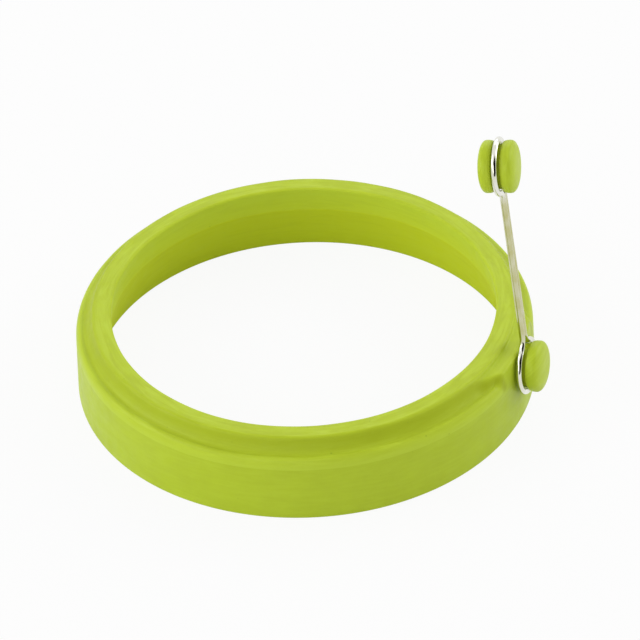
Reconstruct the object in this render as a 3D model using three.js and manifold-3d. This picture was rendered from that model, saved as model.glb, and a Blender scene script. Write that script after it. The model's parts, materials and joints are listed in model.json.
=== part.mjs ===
// Silicone egg ring with a folding wire handle.
// Millimetres, +Z up. The ring stands on z = 0, its stud and handle are on the +X side,
// and the origin is the middle of the footprint that the whole object stands over.

import * as THREE from 'three';
import { mergeVertices } from 'three/addons/utils/BufferGeometryUtils.js';
import Module from 'manifold-3d';

const wasm = await Module();
wasm.setup();

// Ring: a hoop with a raised lip, a shoulder outside the lip and a bore that flares downward.
// Its radii are counted outward from the bore.
const RING_HEIGHT = 19;
const BORE_RADIUS = 42.5;
const BORE_BAND_HEIGHT = 6.4;
const BORE_BAND_FLARE = 0.75;
const BORE_SKIRT_FLARE = 3.95;
const LIP_WIDTH = 4.2;
const LIP_RISE = 3.4;
const LIP_SIDE_SLOPE = 1.4;
const LIP_EDGE_ROUND = 0.8;
const LIP_FOOT_FILLET = 0.6;
const SHOULDER_WIDTH = 2.45;
const SHOULDER_ROUND = 1.3;
const SHOULDER_DROP = 2.5;
const WALL_DRAFT = 0.45;
const BASE_EDGE_ROUND = 0.4;

// Pad: the shoulder is filled in behind the stud, a little below the top of the lip.
const PAD_STEP = 1.2;
const PAD_HALF_WIDTH = 9.8;
const PAD_ROOT_HALF_WIDTH = 17;
const PAD_ROOT_DEPTH = 1.6;
const PAD_EDGE_ROUND = 0.5;
const PAD_SIDE_SLOPE = 1.6;

// Wire: one length of round wire, bent into a loop at each end of a two-legged shank.
const WIRE_DIAMETER = 1.3;
const LOOP_RADIUS = 5.75;
const LOOP_SPACING = 52.8;
const LOOP_FILLET = 3.5;
const LEG_GAP = 0.15;
const WIRE_END_GAP = 0.9;
const TWIST_DEGREES = 7.5;

// Lobes: the domed discs at both sides of the knob's groove and at the head of the stud.
const LOBE_RADIUS = 5.65;
const LOBE_EDGE_ROUND = 0.7;
const LOBE_EDGE_DEPTH = 1.5;
const LOBE_DOME_RISE = 1.9;

// Fits between the wire and the silicone: round the necks, beside the lobes, and at the wall.
const NECK_CLEARANCE = 0.3;
const GROOVE_CLEARANCE = 0.3;
const WALL_CLEARANCE = 0.3;

// Stud: the short neck and head, moulded on the wall, that the lower loop turns on.
// Its axis points a little upward, which is what leans the handle in over the ring.
const STUD_HEIGHT = 12.85;
const STUD_TILT_DEGREES = 6.3;
const STUD_ROOT_DEPTH = 1.1;

// Facets.
const RING_SEGMENTS = 80;
const LOBE_SEGMENTS = 40;
const CORNER_STEPS = 3;
const DOME_STEPS = 7;
const PAD_ARC_STEPS = 6;
const WIRE_SIDES = 8;
const WIRE_STEPS = 128;

// Sizes that follow from the ones above.
const LIP_TOP_RADIUS = BORE_RADIUS + LIP_WIDTH;
const LIP_FOOT_RADIUS = LIP_TOP_RADIUS + LIP_SIDE_SLOPE;
const WALL_RADIUS = LIP_FOOT_RADIUS + SHOULDER_WIDTH;
const BASE_RADIUS = WALL_RADIUS + WALL_DRAFT;
const LEDGE_HEIGHT = RING_HEIGHT - LIP_RISE;
const BORE_BAND_RADIUS = BORE_RADIUS + BORE_BAND_FLARE;
const BORE_BASE_RADIUS = BORE_BAND_RADIUS + BORE_SKIRT_FLARE;
const WIRE_RADIUS = WIRE_DIAMETER / 2;
const NECK_RADIUS = LOOP_RADIUS - WIRE_RADIUS - NECK_CLEARANCE;
const LOOP_REACH = WALL_RADIUS + WIRE_RADIUS + WALL_CLEARANCE;
const TILT = THREE.MathUtils.degToRad(STUD_TILT_DEGREES);
const TWIST = THREE.MathUtils.degToRad(TWIST_DEGREES);
const LOBE_FACE = WIRE_RADIUS + GROOVE_CLEARANCE;
const LOBE_WIDEST = LOBE_FACE + LOBE_EDGE_DEPTH;
const PAD_TOP = RING_HEIGHT - PAD_STEP;
const PAD_RADIUS = WALL_RADIUS - (PAD_TOP - STUD_HEIGHT) * Math.tan(TILT);
const HEAD_REACH = LOOP_REACH + LOBE_WIDEST * Math.cos(TILT)
  + Math.hypot(LOBE_DOME_RISE * Math.cos(TILT), LOBE_RADIUS * Math.sin(TILT));
const RING_CENTRE_X = (BASE_RADIUS - HEAD_REACH) / 2;

// Turns a closed geometry into a solid that can be joined with others.
function toSolid(geometry) {
  const bare = geometry.clone();
  bare.deleteAttribute('normal');
  bare.deleteAttribute('uv');
  const merged = mergeVertices(bare);
  const vertProperties = new Float32Array(merged.attributes.position.array);
  const triVerts = new Uint32Array(merged.index.array);
  return new wasm.Manifold(new wasm.Mesh({ numProp: 3, vertProperties, triVerts }));
}

function toGeometry(solid) {
  const mesh = solid.getMesh();
  const geometry = new THREE.BufferGeometry();
  geometry.setAttribute('position', new THREE.BufferAttribute(new Float32Array(mesh.vertProperties), 3));
  geometry.setIndex(new THREE.BufferAttribute(new Uint32Array(mesh.triVerts), 1));
  geometry.computeVertexNormals();
  return geometry;
}

function silicone() {
  return new THREE.MeshStandardMaterial({ color: 0xb4c832, roughness: 0.55, metalness: 0 });
}

function brightSteel() {
  return new THREE.MeshStandardMaterial({ color: 0xd4d4d0, roughness: 0.15, metalness: 1 });
}

// A point part of the way from one point to another, a given length from the first.
function towards(from, to, length) {
  return from.clone().add(to.clone().sub(from).setLength(length));
}

// Adds a straight run and then a rounded corner to an outline.
function roundCorner(outline, from, corner, to, before, after) {
  const start = towards(corner, from, before);
  const end = towards(corner, to, after);
  outline.lineTo(start.x, start.y);
  outline.quadraticCurveTo(corner.x, corner.y, end.x, end.y);
}

// The hoop's cross-section, radius across and height up.
function hoopOutline() {
  const baseIn = new THREE.Vector2(BORE_BASE_RADIUS, 0);
  const baseOut = new THREE.Vector2(BASE_RADIUS, 0);
  const shoulder = new THREE.Vector2(WALL_RADIUS, LEDGE_HEIGHT);
  const lipFoot = new THREE.Vector2(LIP_FOOT_RADIUS, LEDGE_HEIGHT);
  const lipOut = new THREE.Vector2(LIP_TOP_RADIUS, RING_HEIGHT);
  const lipIn = new THREE.Vector2(BORE_RADIUS, RING_HEIGHT);
  const band = new THREE.Vector2(BORE_BAND_RADIUS, RING_HEIGHT - BORE_BAND_HEIGHT);
  const outline = new THREE.Path();
  const start = towards(baseIn, baseOut, BASE_EDGE_ROUND);
  outline.moveTo(start.x, start.y);
  roundCorner(outline, baseIn, baseOut, shoulder, BASE_EDGE_ROUND, BASE_EDGE_ROUND);
  roundCorner(outline, baseOut, shoulder, lipFoot, SHOULDER_DROP, SHOULDER_ROUND);
  roundCorner(outline, shoulder, lipFoot, lipOut, LIP_FOOT_FILLET, LIP_FOOT_FILLET);
  roundCorner(outline, lipFoot, lipOut, lipIn, LIP_EDGE_ROUND, LIP_EDGE_ROUND);
  roundCorner(outline, lipOut, lipIn, band, LIP_EDGE_ROUND, LIP_EDGE_ROUND);
  outline.lineTo(band.x, band.y);
  roundCorner(outline, band, baseIn, baseOut, BASE_EDGE_ROUND, BASE_EDGE_ROUND);
  return outline.getPoints(CORNER_STEPS);
}

function hoopGeometry() {
  return new THREE.LatheGeometry(hoopOutline(), RING_SEGMENTS).rotateX(Math.PI / 2);
}

// Slopes the pad's sides: below its top, each point moves along the ring away from the stud.
function slopePadSides(geometry) {
  const position = geometry.attributes.position;
  const foot = 1 + PAD_SIDE_SLOPE / PAD_HALF_WIDTH;
  for (let index = 0; index < position.count; index += 1) {
    const x = position.getX(index);
    const y = position.getY(index);
    const drop = (PAD_TOP - position.getZ(index)) / (PAD_TOP - LEDGE_HEIGHT);
    const radius = Math.hypot(x, y);
    const angle = Math.atan2(y, x) * THREE.MathUtils.lerp(1, foot, drop);
    position.setXY(index, radius * Math.cos(angle), radius * Math.sin(angle));
  }
  return geometry;
}

// Plan of the pad, with +X outward: an arc along the wall and sides that spread to the lip.
// Its outer face is set back as far as the loop leans in at the pad's top.
function padGeometry() {
  const rootRadius = LIP_TOP_RADIUS - PAD_ROOT_DEPTH;
  const outerAngle = Math.asin(PAD_HALF_WIDTH / PAD_RADIUS);
  const rootAngle = Math.asin(PAD_ROOT_HALF_WIDTH / rootRadius);
  const plan = new THREE.Shape();
  plan.absarc(0, 0, PAD_RADIUS, -outerAngle, outerAngle, false);
  plan.absarc(0, 0, rootRadius, rootAngle, -rootAngle, true);
  plan.closePath();
  const bottom = LEDGE_HEIGHT - SHOULDER_DROP;
  const options = {
    depth: PAD_TOP - PAD_EDGE_ROUND - bottom,
    bevelThickness: PAD_EDGE_ROUND,
    bevelSize: PAD_EDGE_ROUND,
    bevelOffset: -PAD_EDGE_ROUND,
    bevelSegments: CORNER_STEPS,
    curveSegments: PAD_ARC_STEPS,
  };
  return slopePadSides(new THREE.ExtrudeGeometry(plan, options).translate(0, 0, bottom));
}

// Half of a spool's outline: radius across, distance from the wire's plane up.
// It runs from the neck out along the lobe's inner face, round its edge and over its dome.
function lobeOutline() {
  const outline = new THREE.Path();
  outline.moveTo(NECK_RADIUS, LOBE_FACE);
  outline.lineTo(LOBE_RADIUS - LOBE_EDGE_ROUND, LOBE_FACE);
  outline.quadraticCurveTo(LOBE_RADIUS, LOBE_FACE, LOBE_RADIUS, LOBE_WIDEST);
  const points = outline.getPoints(CORNER_STEPS);
  for (let step = 1; step <= DOME_STEPS; step += 1) {
    const angle = (Math.PI / 2) * (step / DOME_STEPS);
    const radius = step === DOME_STEPS ? 0 : LOBE_RADIUS * Math.cos(angle);
    points.push(new THREE.Vector2(radius, LOBE_WIDEST + LOBE_DOME_RISE * Math.sin(angle)));
  }
  return points;
}

// A turned shape whose axis is X.
function turned(points) {
  return new THREE.LatheGeometry(points, LOBE_SEGMENTS).rotateZ(-Math.PI / 2);
}

// The stud's neck starts inside the lip, so that it is one piece with the ring.
function studGeometry() {
  const root = LIP_TOP_RADIUS - STUD_ROOT_DEPTH - LOOP_REACH;
  const points = [new THREE.Vector2(0, root), new THREE.Vector2(NECK_RADIUS, root), ...lobeOutline()];
  return turned(points).rotateY(-TILT).translate(LOOP_REACH, 0, STUD_HEIGHT);
}

function ringBody() {
  const hoop = toSolid(hoopGeometry());
  const pad = toSolid(padGeometry());
  const stud = toSolid(studGeometry());
  const mesh = new THREE.Mesh(toGeometry(hoop.add(pad).add(stud)), silicone());
  mesh.name = 'ring_body';
  return mesh;
}

// Centre line of the wire, in its own plane: across the loops, and up the shank.
// It starts at the bottom of the lower loop and is the same on both sides of the shank.
function wireRuns() {
  const across = (WIRE_DIAMETER + LEG_GAP) / 2 + LOOP_FILLET;
  const up = Math.sqrt((LOOP_RADIUS + LOOP_FILLET) ** 2 - across ** 2);
  const split = Math.atan2(up, across);
  const endAngle = WIRE_END_GAP / 2 / LOOP_RADIUS;
  const quarter = Math.PI / 2;
  const top = LOOP_SPACING;
  const arc = (x, y, radius, start, end) => {
    return { x, y, radius, start, end, length: radius * Math.abs(end - start) };
  };
  const leg = (side, from, to) => ({ x: side, from, to, length: Math.abs(to - from) });
  const legX = across - LOOP_FILLET;
  return [
    arc(0, 0, LOOP_RADIUS, endAngle - quarter, split),
    arc(across, up, LOOP_FILLET, split + Math.PI, Math.PI),
    leg(legX, up, top - up),
    arc(across, top - up, LOOP_FILLET, Math.PI, Math.PI - split),
    arc(0, top, LOOP_RADIUS, -split, Math.PI + split),
    arc(-across, top - up, LOOP_FILLET, split, 0),
    leg(-legX, top - up, up),
    arc(-across, up, LOOP_FILLET, 0, -split),
    arc(0, 0, LOOP_RADIUS, Math.PI - split, Math.PI + quarter - endAngle),
  ];
}

class WirePath extends THREE.Curve {
  constructor() {
    super();
    this.runs = wireRuns();
    this.total = this.runs.reduce((sum, run) => sum + run.length, 0);
  }

  // The upper loop is turned a little out of the lower loop's plane, evenly along the shank.
  getPoint(share, target = new THREE.Vector3()) {
    let left = share * this.total;
    let index = 0;
    while (index < this.runs.length - 1 && left > this.runs[index].length) {
      left -= this.runs[index].length;
      index += 1;
    }
    const run = this.runs[index];
    const part = left / run.length;
    let across = run.x;
    let up = 0;
    if (run.radius) {
      const angle = run.start + (run.end - run.start) * part;
      across += run.radius * Math.cos(angle);
      up = run.y + run.radius * Math.sin(angle);
    } else {
      up = run.from + (run.to - run.from) * part;
    }
    const turn = TWIST * THREE.MathUtils.smoothstep(up, LOOP_RADIUS, LOOP_SPACING - LOOP_RADIUS);
    return target.set(-across * Math.sin(turn), across * Math.cos(turn), up);
  }
}

function handleWire() {
  const section = new THREE.Shape();
  for (let side = 0; side < WIRE_SIDES; side += 1) {
    const angle = (2 * Math.PI * side) / WIRE_SIDES;
    const x = WIRE_RADIUS * Math.cos(angle);
    const y = WIRE_RADIUS * Math.sin(angle);
    if (side === 0) section.moveTo(x, y);
    else section.lineTo(x, y);
  }
  section.closePath();
  const options = { steps: WIRE_STEPS, extrudePath: new WirePath(), bevelEnabled: false };
  const mesh = new THREE.Mesh(new THREE.ExtrudeGeometry(section, options), brightSteel());
  mesh.name = 'handle_wire';
  return mesh;
}

// A spool: two lobes with a groove between them for the upper loop.
function handleKnob() {
  const lobe = lobeOutline();
  const mirrored = lobe.map((point) => new THREE.Vector2(point.x, -point.y)).reverse();
  const mesh = new THREE.Mesh(turned([...mirrored, ...lobe]), silicone());
  mesh.name = 'handle_knob';
  mesh.position.z = LOOP_SPACING;
  mesh.rotation.z = TWIST;
  return mesh;
}

// The handle's own frame has its origin at the middle of the lower loop and its +X on the
// stud's axis, so that the handle stands square to the stud.
function handle() {
  const group = new THREE.Group();
  group.add(handleWire(), handleKnob());
  group.position.set(LOOP_REACH, 0, STUD_HEIGHT);
  group.rotation.y = -TILT;
  return group;
}

const eggRing = new THREE.Group();
eggRing.add(ringBody(), handle());
eggRing.position.x = RING_CENTRE_X;

export default eggRing;
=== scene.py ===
"""Silicone egg ring with a folding wire handle: its fine meshes, finishes and photo stage.

Metres, +Z up. The ring stands on z = 0 and its stud and handle are on the +X side. The
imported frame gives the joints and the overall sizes, and each piece here takes the place
of the plain solid of the same part.
"""

import json
import math
from collections import namedtuple

import bmesh
import bpy
from mathutils import Matrix, Vector
from mathutils.kdtree import KDTree


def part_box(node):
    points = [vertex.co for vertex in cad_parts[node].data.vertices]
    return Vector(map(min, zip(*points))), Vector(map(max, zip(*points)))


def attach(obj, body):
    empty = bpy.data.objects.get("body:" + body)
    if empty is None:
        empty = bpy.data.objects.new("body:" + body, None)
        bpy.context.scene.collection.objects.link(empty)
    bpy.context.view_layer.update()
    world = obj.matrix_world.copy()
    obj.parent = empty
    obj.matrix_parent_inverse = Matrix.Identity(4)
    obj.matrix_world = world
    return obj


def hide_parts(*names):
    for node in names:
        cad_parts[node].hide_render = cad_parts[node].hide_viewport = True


bl_info = {
    "name": "Egg ring",
    "version": (1, 0, 0),
    "blender": (4, 5, 0),
    "location": "3D View > Sidebar > Egg ring",
    "description": "Builds a silicone egg ring with a folding wire handle, and its stage",
    "category": "Object",
}

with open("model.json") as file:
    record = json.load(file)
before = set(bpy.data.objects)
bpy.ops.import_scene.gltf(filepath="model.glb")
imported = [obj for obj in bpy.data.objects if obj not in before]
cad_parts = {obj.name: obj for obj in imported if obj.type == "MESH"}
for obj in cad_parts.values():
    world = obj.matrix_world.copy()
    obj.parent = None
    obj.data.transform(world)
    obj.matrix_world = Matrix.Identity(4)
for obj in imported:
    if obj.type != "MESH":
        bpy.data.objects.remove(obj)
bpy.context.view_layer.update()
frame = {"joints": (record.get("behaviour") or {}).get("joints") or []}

MM = 0.001
MICRON = 1e-6
UP = Vector((0.0, 0.0, 1.0))


def joint_line(name):
    """The middle and the direction of a joint's axis, as the frame gives them."""
    joint = next(item for item in frame["joints"] if item["name"] == name)
    return Vector(joint["pos_m"]), Vector(joint["axis"]).normalized()


# Places that the frame gives
RING_LOW, RING_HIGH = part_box("ring_body")
RING_CENTRE = Vector((RING_LOW.x + (RING_HIGH.y - RING_LOW.y) / 2, 0.0, 0.0))
RING_HEIGHT = RING_HIGH.z
STUD_MIDDLE, STUD_AXIS = joint_line("handle_swing")
KNOB_MIDDLE, KNOB_AXIS = joint_line("knob_turn")
STUD_TILT = math.atan2(STUD_AXIS.z, STUD_AXIS.x)
LOOP_SPACING = (KNOB_MIDDLE - STUD_MIDDLE).length
LOOP_TWIST = STUD_AXIS.angle(KNOB_AXIS)
SHANK_AXIS = (KNOB_MIDDLE - STUD_MIDDLE).normalized()

# How finely the meshes are divided
CORNER_STEPS = 8
COARSE_STEP = math.radians(1.2)
FINE_STEP = math.radians(0.3)
FINE_REACH = math.radians(24.0)
TURNED_SIDES = 96
DOME_STEPS = 18
WIRE_SIDES = 20
WIRE_STEP = 0.3 * MM
END_STEPS = 4
SHARP_ANGLE = math.radians(38.0)

# Point attributes: how much painted light or shade goes into the silicone's colour, how streaked and
# how glossy the silicone is, the place round and along the wire, and whether a place is on the
# straight shank, where the wire gets its painted reflection
SURFACE = "surface"
WIRE_LAY = "wire_lay"
WIRE_SHANK = "wire_shank"

# Stage: all bearings count from the camera, positive to the right
WHITE = (1.0, 1.0, 1.0)
FLOOR_COLOUR = (0.8, 0.8, 0.8)
FLOOR_GLOW = 0.92
FLOOR_DROP = 0.02 * MM
WORLD_LEVEL = 0.55
CARD_COLOUR = (0.01, 0.01, 0.01)

# Lamps: bearing, height, distance, width and depth of the lit face, power
LAMPS = {
    "left_softbox": (-82.0, 27.0, 1.2, 0.9, 0.7, 5.1),
    "front_softbox": (-20.0, 26.0, 1.2, 0.9, 0.6, 2.1),
    "right_softbox": (108.0, 26.0, 1.2, 0.9, 0.6, 4.8),
    "back_softbox": (176.0, 36.0, 1.2, 0.9, 0.7, 2.2),
}

# Dark card that shows only in reflections, above all in the bright wire: bearing, height,
# distance, width and depth
CARDS = {
    "dark_card": (28.0, 33.0, 1.0, 1.7, 1.3),
}


def length(name, millimetres, description):
    """A size that a user can change, kept in metres."""
    return bpy.props.FloatProperty(
        name=name,
        description=description,
        default=millimetres * MM,
        min=0.0,
        precision=5,
        subtype="DISTANCE",
        unit="LENGTH",
    )


def angle(name, degrees, description):
    """An angle that a user can change."""
    return bpy.props.FloatProperty(
        name=name,
        description=description,
        default=math.radians(degrees),
        subtype="ANGLE",
        unit="ROTATION",
    )


def colour(name, values, description):
    """A colour that a user can change, as linear red, green and blue."""
    return bpy.props.FloatVectorProperty(
        name=name,
        description=description,
        default=values,
        size=3,
        min=0.0,
        max=1.0,
        subtype="COLOR",
    )


def share(name, value, description):
    """A share from 0 to 1 that a user can change."""
    return bpy.props.FloatProperty(
        name=name,
        description=description,
        default=value,
        min=0.0,
        max=1.0,
        subtype="FACTOR",
    )


class RingSizes(bpy.types.PropertyGroup):
    """The ring's section, with radii counted outward from the bore, and its pad."""

    bore_radius: length("Bore radius", 42.5, "Radius of the bore at the top of the lip")
    bore_band_height: length("Bore band height", 6.4, "Height of the steep upper band of the bore")
    bore_band_flare: length("Bore band flare", 0.75, "How far the upper band widens downward")
    bore_skirt_flare: length("Bore skirt flare", 3.95, "How far the lower part of the bore widens")
    bore_break: length("Bore break", 0.35, "Rounding where the band meets the skirt")
    lip_width: length("Lip width", 4.2, "Width of the flat top of the lip")
    lip_rise: length("Lip rise", 3.4, "Height of the lip above the shoulder")
    lip_slope: length("Lip slope", 1.4, "How far the lip's outer side spreads to its foot")
    lip_edge: length("Lip edge", 0.7, "Rounding of the lip's outer top edge")
    bore_edge: length("Bore edge", 0.7, "Rounding of the lip's inner top edge")
    lip_foot: length("Lip foot", 1.1, "Reach of the fillet at the lip's foot, across the shoulder")
    lip_foot_rise: length("Lip foot rise", 2.2, "Reach of that fillet up the lip's outer side")
    shoulder_width: length("Shoulder width", 2.45, "Width of the shoulder outside the lip")
    shoulder_round: length("Shoulder round", 1.3, "Reach of the shoulder's rounding across")
    shoulder_drop: length("Shoulder drop", 2.5, "Reach of the shoulder's rounding down the wall")
    wall_draft: length("Wall draft", 0.45, "How far the outer wall spreads to the base")
    base_edge: length("Base edge", 0.4, "Rounding of the two edges that the ring stands on")
    pad_step: length("Pad step", 1.2, "Height of the lip above the pad behind the stud")
    pad_half_width: length("Pad half width", 9.8, "Half of the pad's width at the wall")
    pad_root_half_width: length("Pad root half width", 17.0, "Half of the pad's width at its root")
    pad_root_depth: length("Pad root depth", 1.6, "How far the pad's root lies inside the lip")
    pad_edge: length("Pad edge", 0.7, "Rounding of the pad's upper edge")
    pad_side: length("Pad side", 2.3, "Length along the wall over which the pad's side comes down")
    unevenness: length("Unevenness", 0.2, "How far the moulded edges wander from true")


class HandleSizes(bpy.types.PropertyGroup):
    """The bent wire, the stud and the knob that it goes round."""

    wire_diameter: length("Wire diameter", 1.3, "Diameter of the round wire")
    wire_end_round: length("Wire end round", 0.25, "Rounding of the wire's cut ends")
    loop_radius: length("Loop radius", 5.75, "Radius of both loops, to the middle of the wire")
    loop_fillet: length("Loop fillet", 3.5, "Radius of the bends between a loop and the legs")
    leg_gap: length("Leg gap", 0.15, "Gap between the two legs of the shank")
    wire_end_gap: length("Wire end gap", 0.9, "Gap between the two cut ends, below the stud")
    lobe_radius: length("Lobe radius", 5.65, "Radius of the stud's head and the knob's lobes")
    lobe_edge: length("Lobe edge", 0.7, "Rounding of a lobe's inner edge")
    lobe_edge_depth: length("Lobe edge depth", 1.5, "Depth of a lobe from its face to its widest")
    lobe_dome: length("Lobe dome", 1.79, "Rise of a lobe's dome from its widest place")
    dome_fullness: bpy.props.FloatProperty(
        name="Dome fullness",
        description="2 gives an elliptical dome, and a larger number a fuller and flatter one",
        default=2.6,
        min=2.0,
        max=4.0,
    )
    neck_clearance: length("Neck clearance", 0.3, "Gap between the wire and the neck")
    groove_clearance: length("Groove clearance", 0.3, "Gap between the wire and a lobe's face")
    stud_root_depth: length("Stud root depth", 1.1, "How far the stud's root lies inside the lip")


class Finishes(bpy.types.PropertyGroup):
    """Colours of the silicone and the wire, and how strongly the silicone's streaks and specks show.
    """

    body: colour("Silicone", (0.475, 0.605, 0.022), "The silicone's own colour")
    # Pale streaks are the silicone's own tone; on surfaces whose first number is above 1 this colour
    # is painted light
    pale: colour("Silicone, pale", (0.540, 0.680, 0.045), "The silicone's pale streaks and edges")
    deep: colour("Silicone, deep", (0.420, 0.525, 0.018), "The silicone's deep mottling")
    speck: colour("Silicone, speck", (0.260, 0.380, 0.012), "The small specks on the silicone")
    # Lighter than the silicone's own colour: painted light in the bore and a little on most other
    # surfaces; the matt roughness is set apart
    matt: colour("Silicone, matt", (0.600, 0.690, 0.018), "The silicone in the matt bore")
    # Painted shade: a darker colour laid where shade falls, in the lip's foot and side, the pad's
    # side, the skirt, the base and the groove
    hollow: colour("Silicone, hollow", (0.365, 0.450, 0.004), "The silicone where it lies hollow")
    streaks: share("Streaks", 0.6, "How strongly the streaks of the moulding show")
    specks: share("Specks", 0.6, "How strongly the small specks show")
    wire_bright: colour("Wire", (0.85, 0.85, 0.83), "The wire where it is polished")
    # The dull colour is drawn-wire dulling in the patches; the shank's extra share of it is a painted
    # reflection of the green ring
    wire_dull_and_painted_reflection: colour("Wire, dull", (0.52, 0.51, 0.25), "The wire where drawing has dulled it")


class StageSizes(bpy.types.PropertyGroup):
    """Where the camera stands, its lens and sensor, and the size of the floor."""

    camera_distance: length("Camera distance", 1000.0, "From the camera to the ring's middle")
    camera_turn: angle("Camera turn", 20.65, "Turn of the camera about the ring")
    camera_height: angle("Camera height", 38.554, "Angle of the camera above the table")
    camera_yaw: angle("Camera yaw", 0.2005, "Turn of the camera to its side")
    camera_pitch: angle("Camera pitch", -0.6303, "Turn of the camera up")
    camera_roll: angle("Camera roll", 2.7617, "Turn of the camera about its own line of sight")
    focal_length: bpy.props.FloatProperty(
        name="Focal length",
        description="Focal length on a sensor 36 mm wide, in millimetres",
        default=251.87,
        subtype="DISTANCE_CAMERA",
    )
    sensor_width: bpy.props.FloatProperty(
        name="Sensor width",
        description="Width of the camera's sensor, in millimetres",
        default=36.0,
        subtype="DISTANCE_CAMERA",
    )
    floor_size: length("Floor size", 6000.0, "Width of the square floor")


# Meshes


def new_object(name, mesh):
    """An object of that name in the scene, in place of an earlier one."""
    earlier = bpy.data.objects.get(name)
    if earlier:
        bpy.data.objects.remove(earlier)
    made = bpy.data.objects.new(name, mesh)
    bpy.context.scene.collection.objects.link(made)
    return made


def mesh_of(name, points, faces, values):
    """A mesh with smooth faces that all point outward, and named values at each of its points."""
    mesh = bpy.data.meshes.new(name)
    mesh.from_pydata(points, [], faces)
    for label, items in values.items():
        single = isinstance(items[0], float)
        attribute = mesh.attributes.new(label, "FLOAT" if single else "FLOAT_VECTOR", "POINT")
        for place, item in zip(attribute.data, items):
            setattr(place, "value" if single else "vector", item)
    tidy_mesh(mesh)
    return mesh


def tidy_mesh(mesh):
    """Merges what coincides, turns the faces outward and smooths all but the sharp edges."""
    shape = bmesh.new()
    shape.from_mesh(mesh)
    bmesh.ops.remove_doubles(shape, verts=shape.verts, dist=MICRON)
    bmesh.ops.recalc_face_normals(shape, faces=shape.faces)
    for face in shape.faces:
        face.smooth = True
    for edge in shape.edges:
        edge.smooth = edge.calc_face_angle(0.0) < SHARP_ANGLE
    shape.to_mesh(mesh)
    shape.free()


def loft(rings, closed):
    """Points and faces of a skin over rings of points. It closes on itself or ends in flat caps."""
    points = [point for ring in rings for point in ring]
    sides = len(rings[0])
    spans = len(rings) if closed else len(rings) - 1
    faces = []
    for span in range(spans):
        here = span * sides
        there = (span + 1) % len(rings) * sides
        for side in range(sides):
            beside = (side + 1) % sides
            faces.append((here + side, here + beside, there + beside, there + side))
    if not closed:
        faces.append(tuple(range(sides - 1, -1, -1)))
        faces.append(tuple(range(len(points) - sides, len(points))))
    return points, faces


def evenly(start, end, steps):
    """Points from start up to, but without, end."""
    return [start.lerp(end, step / steps) for step in range(steps)]


def smooth_step(value, start, end):
    """0 up to the start and 1 from the end, with a smooth rise between."""
    part = min(max((value - start) / (end - start), 0.0), 1.0)
    return part * part * (3.0 - 2.0 * part)


def curved(start, corner, end):
    """A quadratic curve that turns at a corner, without its last point."""
    shares = [step / CORNER_STEPS for step in range(CORNER_STEPS)]
    return [start.lerp(corner, part).lerp(corner.lerp(end, part), part) for part in shares]


# Corner of an outline: its point, the cuts and the surfaces before and after it, and the steps
# of the straight run that follows it
Corner = namedtuple("Corner", "point cut_before cut_after enters leaves steps")


def surface(painted_light_level, streaks, gloss):
    """How open, how streaked and how glossy the silicone is at a place, counted from 0.

    Streaks and gloss go up to 1. The first number paints shade and light into the colour:
    painted shade, the hollow colour, at 0, the silicone's own at 1 and painted light, its pale
    colour, at 2.
    """
    return Vector((painted_light_level, streaks, gloss))


def rounded_outline(corners):
    """A closed outline with rounded corners, and the surface at each of its points."""
    starts = []
    ends = []
    for index, corner in enumerate(corners):
        previous = corners[index - 1].point
        following = corners[(index + 1) % len(corners)].point
        starts.append(corner.point + (previous - corner.point).normalized() * corner.cut_before)
        ends.append(corner.point + (following - corner.point).normalized() * corner.cut_after)
    outline = []
    surfaces = []
    for index, corner in enumerate(corners):
        following = (index + 1) % len(corners)
        outline += curved(starts[index], corner.point, ends[index])
        outline += evenly(ends[index], starts[following], corner.steps)
        surfaces += evenly(corner.enters, corner.leaves, CORNER_STEPS)
        surfaces += evenly(corner.leaves, corners[following].enters, corner.steps)
    return outline, surfaces


# Ring

# Share of the stretch from the ledge down to the plain face that the shoulder's rounding takes,
# and share of what is left that the face's corner takes
FACE_SHARE = 0.8

# Shares of the lip's low side, on the pad, that its foot's fillet and its top edge's rounding take
PAD_FOOT_SHARE = 0.42
PAD_LIP_SHARE = 0.5

# Where the pad's side begins and ends, in shares of the side's length past the pad's half width
PAD_SIDE_START_SHARE = -0.15
PAD_SIDE_END_SHARE = 0.85

# Waves round the ring that its moulded edges wander by: their number, and their share of the whole
EDGE_WAVE_SHARES = ((3, 0.3), (5, 0.22), (8, 0.18), (13, 0.12), (21, 0.1), (34, 0.08))

# What sets the waves of one edge off from those of another, in radians
LIP_WAVE_START = 0.7
BORE_WAVE_START = 2.1
OUTER_WAVE_START = 4.4

# Surfaces of the ring, in the order of its section. The first number of each paints shade into
# the colour below 1, on the lip's side and foot, the ledge's foot, the skirt and the base, and paints
# light into it above 1, on the line along the ledge's edge, the bore's band, the wall and the pad
SKIRT = surface(0.85, 0.3, 0.0)
BAND_LOW = surface(1.4, 0.5, 0.1)
BAND_HIGH = surface(1.6, 0.7, 0.4)
LIP = surface(1.0, 1.0, 0.9)
LIP_SIDE = surface(0.37, 0.6, 0.9)
LIP_FOOT = surface(0.37, 0.5, 0.9)
LEDGE_FOOT = surface(0.8, 1.0, 0.9)
LEDGE = surface(1.0, 1.0, 0.9)
LEDGE_LINE = surface(1.7, 0.6, 1.0)
PAD = surface(1.1, 0.6, 0.9)
WALL = surface(1.1, 0.35, 1.0)
BASE = surface(0.7, 0.1, 0.5)
# Painted shade on the pad's side: the level of painted light there, close to the full hollow colour
PAD_SIDE_PAINTED_LIGHT_LEVEL = 0.1


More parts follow.
